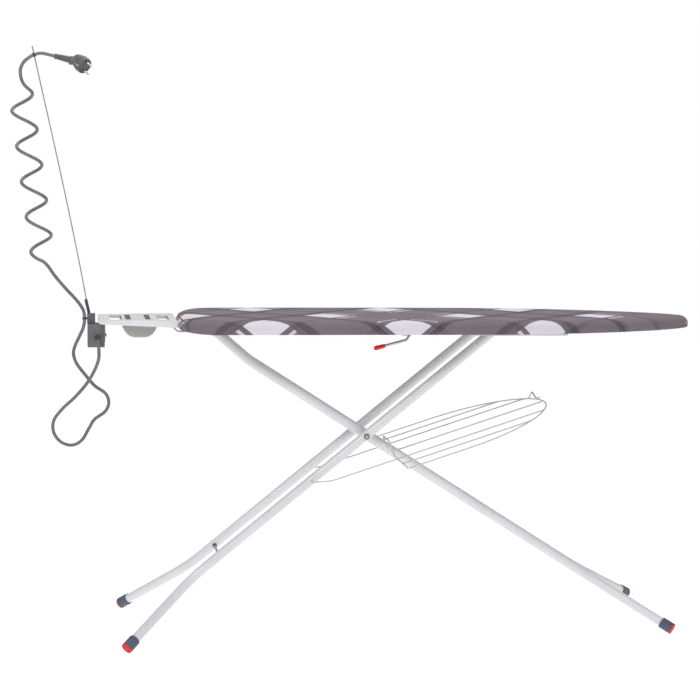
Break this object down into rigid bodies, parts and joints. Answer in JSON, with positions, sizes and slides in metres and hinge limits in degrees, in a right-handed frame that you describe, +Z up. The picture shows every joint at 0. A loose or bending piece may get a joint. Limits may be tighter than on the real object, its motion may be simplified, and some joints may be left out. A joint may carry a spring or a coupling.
{
  "type": "folding ironing board",
  "caption": "Folding ironing board with crossed tube legs, padded check cover, iron rest with mains socket, cord holder and a wire laundry rack.",
  "frame": {"origin": "centre of the footprint on the floor, under the middle of the object's length", "axes": "+X along the board from the iron rest to the nose, +Y across the board away from the height lever, +Z up from the floor"},
  "size_m": [1.5903, 0.4354, 1.3313],
  "materials": {
    "cover_cloth": "woven cotton with a printed check, matt",
    "felt": "needled felt",
    "panel_steel": "smooth grey paint on sheet steel",
    "zinc_steel": "zinc plated",
    "bright_steel": "bright plated",
    "leg_paint": "gloss white powder coat",
    "dark_fastener": "browned steel with a bright centre",
    "white_plastic": "natural nylon",
    "foot_grey": "fine grain, blue grey",
    "foot_red": "fine grain, red",
    "grip_red": "glossy dipped plastic",
    "wire_white": "white plastic coated wire",
    "rest_paint": "satin white powder coat",
    "strip_rubber": "matt silicone, fine ribs",
    "pan_paint": "satin grey paint",
    "box_plastic": "fine spark-eroded grain",
    "clip_brass": "bare brass",
    "sleeve_rubber": "matt black",
    "cord_rubber": "smooth grey sheath, semi matt",
    "plug_rubber": "smooth grey, semi matt"
  },
  "bodies": {
    "board": {"board_panel": "panel_steel", "board_rim_near": "panel_steel", "board_rim_far": "panel_steel", "felt_pad": "felt", "cover": "cover_cloth", "hinge_bracket_near": "zinc_steel", "hinge_bracket_far": "zinc_steel", "hinge_pin": "zinc_steel", "guide_rail_near": "zinc_steel", "guide_rail_far": "zinc_steel", "lever_bracket_near": "zinc_steel", "lever_bracket_far": "zinc_steel", "bracket_rivets": "zinc_steel", "lever_spring": "bright_steel", "rest_plate": "rest_paint", "rest_strips": "strip_rubber", "rest_pan": "pan_paint", "rest_rail_near": "zinc_steel", "rest_rail_far": "zinc_steel", "socket_tab": "rest_paint", "socket_screw": "dark_fastener", "socket_box": "box_plastic", "earth_clips": "clip_brass", "cord_gland": "box_plastic", "cord_holder_foot": "box_plastic", "cord_holder_sleeve": "sleeve_rubber", "cord_holder_rod": "bright_steel", "cord_clips": "box_plastic", "cord": "cord_rubber", "plug": "plug_rubber"},
    "lever": {"lever_rod": "bright_steel", "lever_grip": "grip_red", "latch_comb": "bright_steel"},
    "inner_legs": {"inner_leg_near": "leg_paint", "inner_leg_far": "leg_paint", "inner_spreader": "zinc_steel", "pivot_bolt": "dark_fastener", "pivot_washers": "white_plastic", "pivot_nuts": "dark_fastener", "pivot_spacers": "white_plastic", "inner_foot_cap_near": "foot_grey", "inner_foot_cap_far": "foot_grey", "inner_foot_pad_near": "foot_red", "inner_foot_pad_far": "foot_red"},
    "outer_legs": {"outer_leg_near": "leg_paint", "outer_leg_far": "leg_paint", "crossbar": "zinc_steel", "slide_rollers": "white_plastic", "outer_spreader": "zinc_steel", "outer_foot_cap_near": "foot_grey", "outer_foot_cap_far": "foot_grey", "outer_foot_pad_near": "foot_red", "outer_foot_pad_far": "foot_red"},
    "rack": {"rack_rim_near": "wire_white", "rack_rim_far": "wire_white", "rack_saddle": "wire_white", "rack_wires": "wire_white", "rack_arm_near": "wire_white", "rack_arm_far": "wire_white", "rack_end_loop": "zinc_steel"}
  },
  "joints": [
    {"name": "leg_fold", "type": "hinge", "parent": "board", "child": "inner_legs", "pos_m": [-0.361, 0, 0.697], "axis": [0, -1, 0], "range_deg": [-4, 26.5]},
    {"name": "scissor", "type": "hinge", "parent": "inner_legs", "child": "outer_legs", "pos_m": [-0.016, 0, 0.459], "axis": [0, 1, 0], "range_deg": [-9, 57]},
    {"name": "rack_tilt", "type": "hinge", "parent": "outer_legs", "child": "rack", "pos_m": [-0.142, 0, 0.35611], "axis": [0, -1, 0], "range_deg": [-3, 19.5]},
    {"name": "height_lever", "type": "hinge", "parent": "board", "child": "lever", "pos_m": [0.073, 0, 0.699], "axis": [0, 1, 0], "range_deg": [0, 12], "stiffness_Nm_per_rad": 2, "springref_deg": -20.05}
  ],
  "couplings": [
    {"joint": "scissor", "follows": "leg_fold", "ratio": 2.119},
    {"joint": "rack_tilt", "follows": "leg_fold", "ratio": 0.7285}
  ]
}
